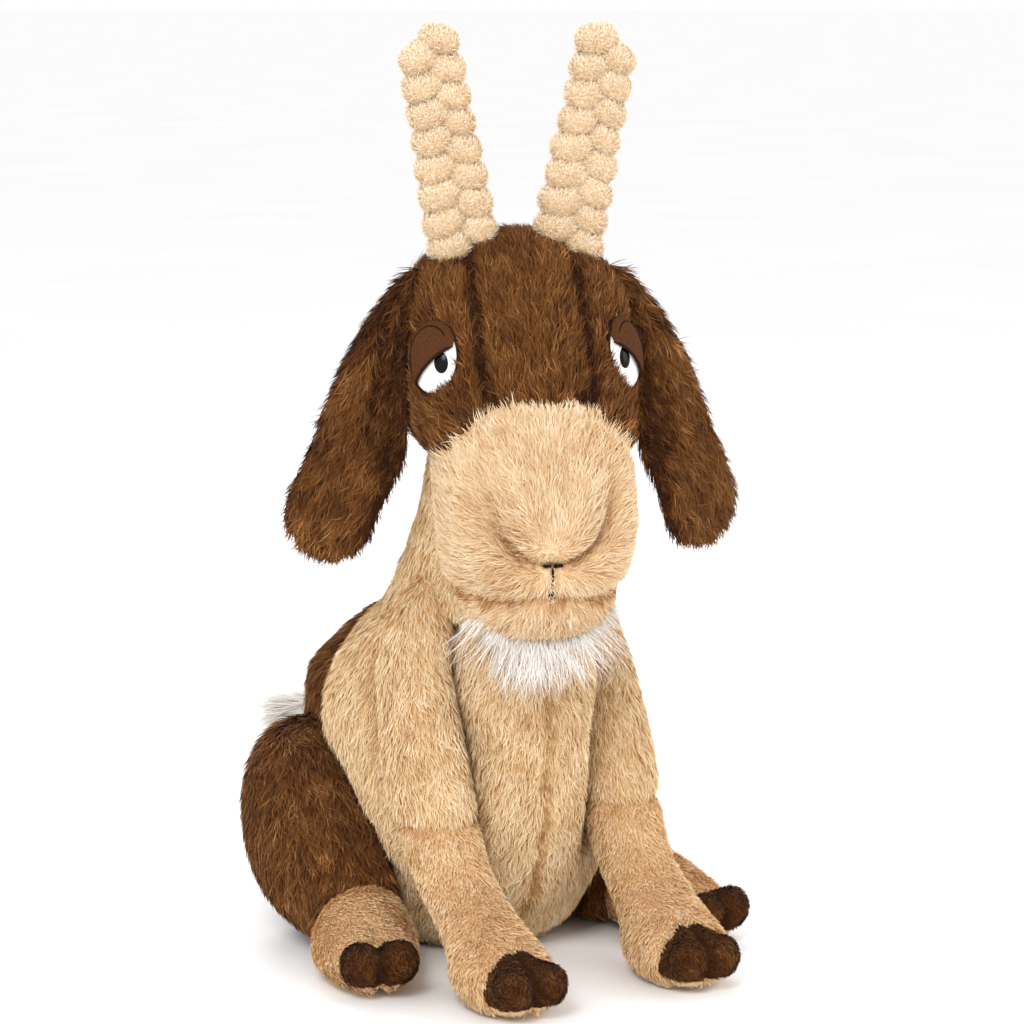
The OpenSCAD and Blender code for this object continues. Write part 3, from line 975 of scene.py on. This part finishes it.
def split_panels(part):
    """Each panel of a skin becomes a piece of fabric of its own."""
    o = part["object"]
    p = part["points"]
    faces = [tuple(f.vertices) for f in o.data.polygons]
    label = part["label"]
    votes = np.array([np.bincount(label[list(f)], minlength=len(part["panels"])).argmax() for f in faces])
    for k, panel in enumerate(part["panels"]):
        chosen = [f for f, v in zip(faces, votes) if v == k]
        used = sorted({i for f in chosen for i in f})
        index = {v: i for i, v in enumerate(used)}
        s = mesh_object(
            panel + "_fabric", p[used], [[index[i] for i in f] for f in chosen], SKIN[KIND[panel]]
        )
        solid = s.modifiers.new("fabric", "SOLIDIFY")
        solid.thickness = 1.6 * MM
        solid.offset = -1
        apply_modifiers(s)
        piece(s, part["body"])
        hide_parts(panel)
    bpy.data.objects.remove(o)


for part in PARTS.values():
    split_panels(part)

# ---- fillings


def grained_material(name, dark, light, roughness, scale, detail, strength, height):
    """A colour and a bump that follow one fine noise."""
    m, tree, shader = new_material(name)
    grain = noise(tree, scale, detail)
    colour = ramp(tree, grain, [(0.3, linear(dark)), (0.7, linear(light))])
    tree.links.new(colour, shader.inputs["Base Color"])
    dial(shader, Roughness=roughness)
    bump(tree, shader, grain, strength, height)
    return m, shader


def wool_material(name, dark, light, scale):
    return grained_material(name, dark, light, 0.95, scale, 6, 0.7, 0.0015)[0]


WOOL = wool_material("polyester_wool", (206, 208, 212), (246, 247, 250), 220)
PELLETS = wool_material("pellet_bag_cloth", (150, 148, 142), (214, 212, 206), 420)


def lumpy(node, body, material, shrink, voxel=5.0, lump=1.0):
    """A slightly uneven filling, shrunk inside its cover; sizes are in millimetres."""
    o = skin_from(node + "_stuffing", [node], voxel * MM, 3)
    me = o.data
    p, n = points_of(me), normals_of(me)
    waves = WIND.at(p, 9 * MM)[:, :1] * lump * MM
    set_points(me, p - n * (shrink * MM + np.abs(waves)))
    me.materials.append(material)
    piece(o, body)
    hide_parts(node)
    return o


for name, part in PARTS.items():
    for node in part["inside"]:
        if node == "pellet_bag":
            lumpy(node, "torso", PELLETS, 0.4, 3.5, 0.5)
        else:
            lumpy(node, part["body"], WOOL, 5.0 if "leg" in node else 3.0)
for side in ("left", "right"):
    lumpy(f"horn_{side}_filling", "head", WOOL, 0.2, 1.2, 0.3)

# ---- eyes


def placed(m, p):
    """Points of an eye's own frame brought to the object's frame."""
    m = np.array(m)
    return np.asarray(p) @ m[:3, :3].T + m[:3, 3]


def eye_object(name, m, p, faces, material):
    """A mesh given in an eye's own frame; a mirrored eye has its faces turned to point outwards."""
    if m.determinant() < 0:
        faces = [tuple(reversed(f)) for f in faces]
    return mesh_object(name, placed(m, p), faces, material)


def ring_faces(rings, sides):
    return [
        (k * sides + i, k * sides + j, (k + 1) * sides + j, (k + 1) * sides + i)
        for k in range(rings - 1) for i, j in zip(range(sides), [*range(1, sides), 0])
    ]


def tube(name, line, radius, material, sides=10, wobble=0.0, seed=0):
    """A round strand along a line, with closed, narrowed ends."""
    line = np.asarray(line, float)
    rng = np.random.default_rng(seed)
    ahead = unit(np.gradient(line, axis=0))
    up = np.array([0.13, 0.31, 0.94])
    side = unit(np.cross(ahead, up))
    other = np.cross(side, ahead)
    count = len(line)
    size = radius * np.clip(np.sin(np.linspace(0.12, math.pi - 0.12, count)) * 3, 0.2, 1)
    size = size * (1 + wobble * rng.normal(size=count))
    a = np.linspace(0, 2 * math.pi, sides, endpoint=False)
    ring = np.cos(a)[None, :, None] * side[:, None] + np.sin(a)[None, :, None] * other[:, None]
    verts = (line[:, None] + ring * size[:, None, None]).reshape(-1, 3)
    faces = ring_faces(count, sides)
    faces.append(tuple(range(sides))[::-1])
    faces.append(tuple((count - 1) * sides + i for i in range(sides)))
    return mesh_object(name, verts, faces, material)


def surface_material(name, dark, light, roughness, scale, height, coat=0.0):
    m, shader = grained_material(name, dark, light, roughness, scale, 4, 0.35, height)
    dial(shader, Coat_Weight=coat, Coat_Roughness=0.08, Specular_IOR_Level=0.12)
    return m


EYE_WHITE = surface_material("eye_white_paint", (236, 236, 232), (250, 250, 248), 0.35, 300, 0.0001, 0.5)
PUPIL = surface_material("pupil_gloss", (3, 3, 5), (9, 9, 12), 0.22, 300, 0.00005, 0.12)
SUEDE = surface_material("eyelid_suede", (66, 38, 20), (92, 56, 31), 0.95, 1600, 0.0004)
SUEDE_RIM = surface_material("eyelid_rim", (34, 18, 9), (50, 28, 15), 0.95, 1600, 0.0003)
THREAD = surface_material("black_thread", (12, 11, 12), (34, 32, 33), 0.6, 2600, 0.0003)


def dome(x, z):
    """Points on the eye's dome; x and z run from -1 to 1 inside its outline."""
    y = -EYE_HALF[1] * np.sqrt(np.clip(1 - x * x - z * z, 0, 1))
    return np.stack([x * EYE_HALF[0], y, z * EYE_HALF[2]], -1)


def lid_edge(x):
    """The lid's lower edge on the dome, which falls outwards."""
    return -0.30 - 0.54 * x + 0.10 * (1 - x * x)


def grid_faces(rows, columns):
    return [
        (i * columns + j, i * columns + j + 1, (i + 1) * columns + j + 1, (i + 1) * columns + j)
        for i in range(rows - 1) for j in range(columns - 1)
    ]


EYE_RINGS, EYE_SIDES = 18, 56
EYE_RADII = np.sin(np.linspace(0, math.pi / 2, EYE_RINGS))
EYE_ANGLES = np.linspace(0, 2 * math.pi, EYE_SIDES, endpoint=False)


def disc_points():
    """x and z of rings of points that fill a circle of radius 1."""
    x = (EYE_RADII[:, None] * np.cos(EYE_ANGLES)).ravel()
    return x, (EYE_RADII[:, None] * np.sin(EYE_ANGLES)).ravel()


def make_white(side, m):
    rim = dome(np.cos(EYE_ANGLES), np.sin(EYE_ANGLES))
    p = np.concatenate([dome(*disc_points()), rim + np.array([0, 6 * MM, 0])])
    back = tuple(EYE_RINGS * EYE_SIDES + i for i in range(EYE_SIDES))
    faces = [*ring_faces(EYE_RINGS + 1, EYE_SIDES), back]
    white = piece(eye_object(f"eye_{side}_dome", m, p, faces, EYE_WHITE), "head")
    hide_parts(f"eye_white_{side}")


def make_pupil(side, m):
    x, z = disc_points()
    p = dome(0.26 * x - 0.48, 0.30 * z - 0.20)
    p[:, 1] -= 0.12 * MM + 0.5 * MM * (1 - np.repeat(EYE_RADII, EYE_SIDES) ** 2)
    faces = ring_faces(EYE_RINGS, EYE_SIDES)
    pupil = piece(eye_object(f"pupil_{side}_disc", m, p, faces, PUPIL), "head")
    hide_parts(f"pupil_{side}")


def make_lid(side, m):
    xs = np.linspace(-0.90, 0.74, 44)
    ts = np.linspace(0, 1, 18)
    low = lid_edge(xs)
    high = np.sqrt(1 - xs * xs)
    x = np.repeat(xs, len(ts))
    z = (low[:, None] + (high - low)[:, None] * ts[None] ** 0.8).ravel()
    p = dome(x * 1.02, z * 1.02) * np.array([1.04, 1.0, 1.04])
    p[:, 1] -= 1.1 * MM
    lid = eye_object(f"eyelid_{side}_suede", m, p, grid_faces(len(xs), len(ts)), SUEDE)
    solid = lid.modifiers.new("thickness", "SOLIDIFY")
    solid.thickness = 0.8 * MM
    solid.offset = 0
    apply_modifiers(lid)
    piece(lid, "head")
    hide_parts(f"eyelid_{side}")


def eye_cord(name, m, line, forward, radius):
    """A rolled edge or seam of suede along a line on the dome."""
    line = placed(m, line - np.array([0, forward * MM, 0]))
    piece(tube(name, line, radius * MM, SUEDE_RIM), "head")


def make_eye(side):
    m = EYE_SPOTS[side]
    make_white(side, m)
    make_pupil(side, m)
    make_lid(side, m)
    x = np.linspace(-0.92, 0.76, 50)
    eye_cord(f"eyelid_{side}_edge", m, dome(x * 1.03, lid_edge(x) * 1.03), 1.3, 0.65)
    a = np.linspace(math.radians(-28), math.radians(150), 60)
    eye_cord(f"eyelid_{side}_seam", m, dome(0.86 * np.cos(a), 0.88 * np.sin(a)), 1.5, 0.5)
    # A dark suede ring round the whole eye: partly the dark felt backing at the eye's lower edge, partly
    # painted shadow round the eye.
    a = np.linspace(0, 2 * math.pi, 90)
    eye_cord(f"eye_{side}_rim", m, dome(np.cos(a), np.sin(a)) * np.array([1.03, 1, 1.03]), 0.3, 0.7)


for side in ("left", "right"):
    make_eye(side)

# ---- nose and mouth stitches


def on_face(x, z, raise_by):
    """Points in front of the muzzle skin for places given in the head's frame, millimetres."""
    out = []
    ahead = HEAD_AXES @ np.array([0, 1.0, 0])
    for a, b in zip(x, z):
        start = in_head([(a * MM, -0.2, b * MM)])[0]
        hit = skin_trees["head"].ray_cast(Vector(start), Vector(ahead))[0]
        out.append(np.array(hit) - ahead * raise_by)
    return np.array(out)


def stitch(name, x, z, radius, seed):
    line = on_face(np.linspace(*x, 9), np.linspace(*z, 9), 0.8 * MM)
    return piece(tube(name, line, radius * MM, THREAD, 8, 0.12, seed), "head")


first = stitch("nose_stitch_right", (-4.2, -0.5), (175.6, 175.0), 0.75, seed=3)
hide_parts("nose_stitch")
stitch("nose_stitch_left", (0.5, 4.2), (175.0, 175.6), 0.75, seed=4)
first = stitch("mouth_thread_upper", (0, -0.3), (174.4, 168.5), 0.5, seed=5)
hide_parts("mouth_stitch")
stitch("mouth_thread_lower", (-0.3, -0.8), (169.0, 163.6), 0.65, seed=6)
stitch("mouth_knot", (-2.2, 0.6), (163.6, 163.9), 1.0, seed=7)

# ---- horns
HORN_FOOT = np.array([22, 2, 300]) * MM
HORN_TIP = np.array([38, -4, 385]) * MM
LOBES = 8


def horn_lobes(sign):
    """Centre, axes (rows) and half sizes of every lobe, in the head's frame."""
    flip = np.array([sign, 1, 1])
    foot, tip = HORN_FOOT * flip, HORN_TIP * flip
    up = (tip - foot) / np.linalg.norm(tip - foot)
    across = np.cross([0, -1.0, 0], up)
    across /= np.linalg.norm(across)
    out_front = np.cross(up, across)
    rng = np.random.default_rng(31 if sign > 0 else 32)
    lobes = []
    for column in (-1, 1):
        for k in range(LOBES):
            t = (k + (0.30 if column * sign < 0 else 0.80)) / LOBES
            middle = foot + (tip - foot) * (t * 1.02 - 0.05)
            size = np.array([9.5, 9.6, 6.9]) * (1 - 0.15 * t) * MM
            size = size * rng.uniform(0.95, 1.06, 3)
            tilt = math.radians(25 + rng.uniform(-7, 7)) * -column
            c, s = math.cos(tilt), math.sin(tilt)
            axes = np.array([across * c + up * s, out_front, up * c - across * s])
            lobes.append((middle + across * column * (5.4 - 1.0 * t) * MM, axes, size))
    return lobes


LOBE_ROWS, LOBE_SIDES = 14, 28


def lobe_shape():
    """Points and triangles of one rounded block, within 1 of its middle."""
    lat = np.linspace(-math.pi / 2, math.pi / 2, LOBE_ROWS + 2)[1:-1, None]
    lon = np.linspace(0, 2 * math.pi, LOBE_SIDES, endpoint=False)
    power = lambda v, e: np.sign(v) * np.abs(v) ** e
    wide = power(np.cos(lat), 0.62)
    p = np.stack([
        wide * power(np.cos(lon), 0.85), wide * power(np.sin(lon), 0.85),
        power(np.sin(lat), 0.8) * np.ones((1, LOBE_SIDES)),
    ], -1).reshape(-1, 3)
    faces = []
    for a, b, c, d in ring_faces(LOBE_ROWS, LOBE_SIDES):
        faces += [(a, b, c), (a, c, d)]
    last, south = (LOBE_ROWS - 1) * LOBE_SIDES, LOBE_ROWS * LOBE_SIDES
    for i in range(LOBE_SIDES):
        j = (i + 1) % LOBE_SIDES
        faces += [(j, i, south), (last + i, last + j, south + 1)]
    return np.concatenate([p, [[0, 0, -1.0], [0, 0, 1.0]]]), np.array(faces)


def make_horn(side, sign):
    lobes = horn_lobes(sign)
    shape, shape_faces = lobe_shape()
    points, faces, normals = [], [], []
    for k, (middle, axes, size) in enumerate(lobes):
        ripple = 1 + 0.03 * WIND.at(shape + k, 0.55)[:, :1]
        points.append(middle + (shape * size * ripple) @ axes)
        normals.append(unit(shape / size @ axes))
        faces.append(shape_faces + k * len(shape))
    points, faces, normals = np.concatenate(points), np.concatenate(faces), np.concatenate(normals)
    cover = mesh_object(f"horn_{side}_lobes", in_head(points), faces.tolist(), SKIN["horn"])
    piece(cover, "head")
    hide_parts(f"horn_{side}_cover")

    rng = np.random.default_rng(41 if sign > 0 else 42)
    p, n, face = scatter(points, faces, normals, 2.4, rng)
    lobe_of = face // len(shape_faces)
    clear = np.ones(len(p), bool)
    depth = np.full(len(p), 9.0)
    for k, (middle, axes, size) in enumerate(lobes):
        r = np.linalg.norm(((p - middle) @ axes.T) / size, axis=1)
        other = lobe_of != k
        clear &= ~(other & (r < 0.97))
        depth = np.where(other, np.minimum(depth, r), depth)
    out_of_crease = np.clip((depth - 1.0) / 0.22, 0, 1)
    up = (HORN_TIP - HORN_FOOT) * np.array([sign, 1, 1])
    d = tangent(np.broadcast_to(up, p.shape) * 12 + rng.normal(0, 0.8, p.shape), n)
    length = 2.3 * MM * rng.uniform(0.6, 1.2, len(p)) * (0.3 + 0.7 * out_of_crease)
    # The tone falls towards the first, orange shade in the creases between lobes: painted shade in the
    # creases.
    tone = 0.02 + 0.72 * out_of_crease + 0.14 * TONE.at(p, 1.4 * MM)[:, 0] + rng.normal(0, 0.12, len(p))
    grow(
        f"horn_{side}_pile", "head", "horn", in_head(p)[clear], (n @ HEAD_AXES.T)[clear],
        (d @ HEAD_AXES.T)[clear], length[clear], 0.48 * MM, 1.1, tone[clear], rng, segments=1,
    )


for side, sign in (("left", 1), ("right", -1)):
    make_horn(side, sign)

# ---- beard and tail


def long_hair(name, body, p, d, length, width, rng, replaced, segments=5):
    """Loose hair that leaves its root along d and droops."""
    n = unit(np.cross(d, np.cross(d, np.broadcast_to([0, 0, 1.0], d.shape) + 1e-3)))
    n = np.where(n[:, 2:] < 0, n, -n)
    tone = rng.uniform(0.1, 1, len(p))
    droop = 0.25 * rng.uniform(-0.6, 1.6, len(p))
    o = ribbons(
        name, FUR["white"], p, n, d, length, width, droop, tone, rng, sway=0.22, segments=segments,
    )
    piece(o, body)
    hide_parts(replaced)


def make_beard():
    """Roots under the chin, in the head's frame and in millimetres, and a few hairs longer than the rest."""
    rng = np.random.default_rng(51)
    count = 3000
    x = np.clip(rng.normal(3, 13, count), -25, 27)
    y = rng.uniform(-50, -30, count)
    z = 143.5 + rng.uniform(-1, 2, count) + 0.016 * x * x
    p = np.c_[x, y, z] * MM
    across = x * 0.045 + rng.normal(0, 0.22, count)
    d = unit(np.c_[across, (y + 40) * 0.02 - 0.42, -1 + rng.uniform(0, 0.25, count)])
    long_one = rng.random(count) < 0.2
    length = np.where(long_one, rng.uniform(20, 33, count), rng.uniform(6, 14, count)) * MM
    width = np.where(long_one, 0.32, 0.42) * MM
    long_hair("beard_hair", "head", in_head(p), d @ HEAD_AXES.T, length, width, rng, "beard")


make_beard()


TAIL_ROOT = np.array([-0.006, 0.136, 0.080])


def make_tail():
    core = lumpy("tail_core", "tail", SKIN["white"], 0.3, 1.4, 0.3)
    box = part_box("tail_hair")
    middle = (np.array(box[0]) + np.array(box[1])) / 2
    away = unit((middle - TAIL_ROOT)[None])[0]
    me = core.data
    rng = np.random.default_rng(61)
    p, n, _ = scatter(points_of(me), triangles_of(me), normals_of(me), 1.6, rng)
    d = unit(n * 0.55 + away + rng.normal(0, 0.16, n.shape) + np.array([0, 0, -0.1]))
    length = rng.uniform(9, 23, len(p)) * MM
    long_hair("tail_long_hair", "tail", p, d, length, 0.42 * MM, rng, "tail_hair", segments=4)


make_tail()

# ---- stage, light and camera
FLOOR_HALF = 90
corners = [(x * FLOOR_HALF, y * FLOOR_HALF, 0) for x, y in ((-1, -1), (1, -1), (1, 1), (-1, 1))]
floor = mesh_object("floor", corners, [(0, 1, 2, 3)])
m, tree, shader = new_material("pale_floor")
shade = ramp(tree, noise(tree, 3.0), [(0.3, linear((250, 250, 250))), (0.7, linear((253, 253, 253)))])
tree.links.new(shade, shader.inputs["Base Color"])
dial(shader, Roughness=0.8)
floor.data.materials.append(m)
floor.location.z = -0.0006

world = bpy.data.worlds.new("studio")
SCENE.world = world
world.use_nodes = True
dial(world.node_tree.nodes["Background"], Color=(1, 1, 1, 1), Strength=1.0)


def area_light(name, place, aim, size, power):
    data = bpy.data.lights.new(name, "AREA")
    data.shape = "DISK"
    data.size = size
    data.energy = power
    o = bpy.data.objects.new(name, data)
    o.location = place
    o.rotation_euler = (Vector(aim) - Vector(place)).to_track_quat("-Z", "Y").to_euler()
    SCENE.collection.objects.link(o)


area_light("key", (-1.1, -1.1, 1.5), (0, 0, 0.2), 0.8, 17)
area_light("fill", (1.2, -0.9, 0.7), (0, 0, 0.2), 0.9, 5)
area_light("rim", (0.3, 1.3, 1.2), (0, 0, 0.25), 0.8, 10)

camera_data = bpy.data.cameras.new("camera")
camera = bpy.data.objects.new("camera", camera_data)
SCENE.collection.objects.link(camera)
TARGET = Vector((0, -0.060, 0.195))
azimuth, elevation, distance = math.radians(-29), math.radians(9), 1.3
camera.location = TARGET + distance * Vector((
    math.sin(azimuth) * math.cos(elevation), -math.cos(azimuth) * math.cos(elevation), math.sin(elevation)
))
camera.rotation_euler = (TARGET - camera.location).to_track_quat("-Z", "Y").to_euler()
camera_data.lens = 114.3
camera_data.sensor_width = 36
camera_data.shift_x = -0.0635
SCENE.camera = camera
SCENE.view_settings.view_transform = "Standard"
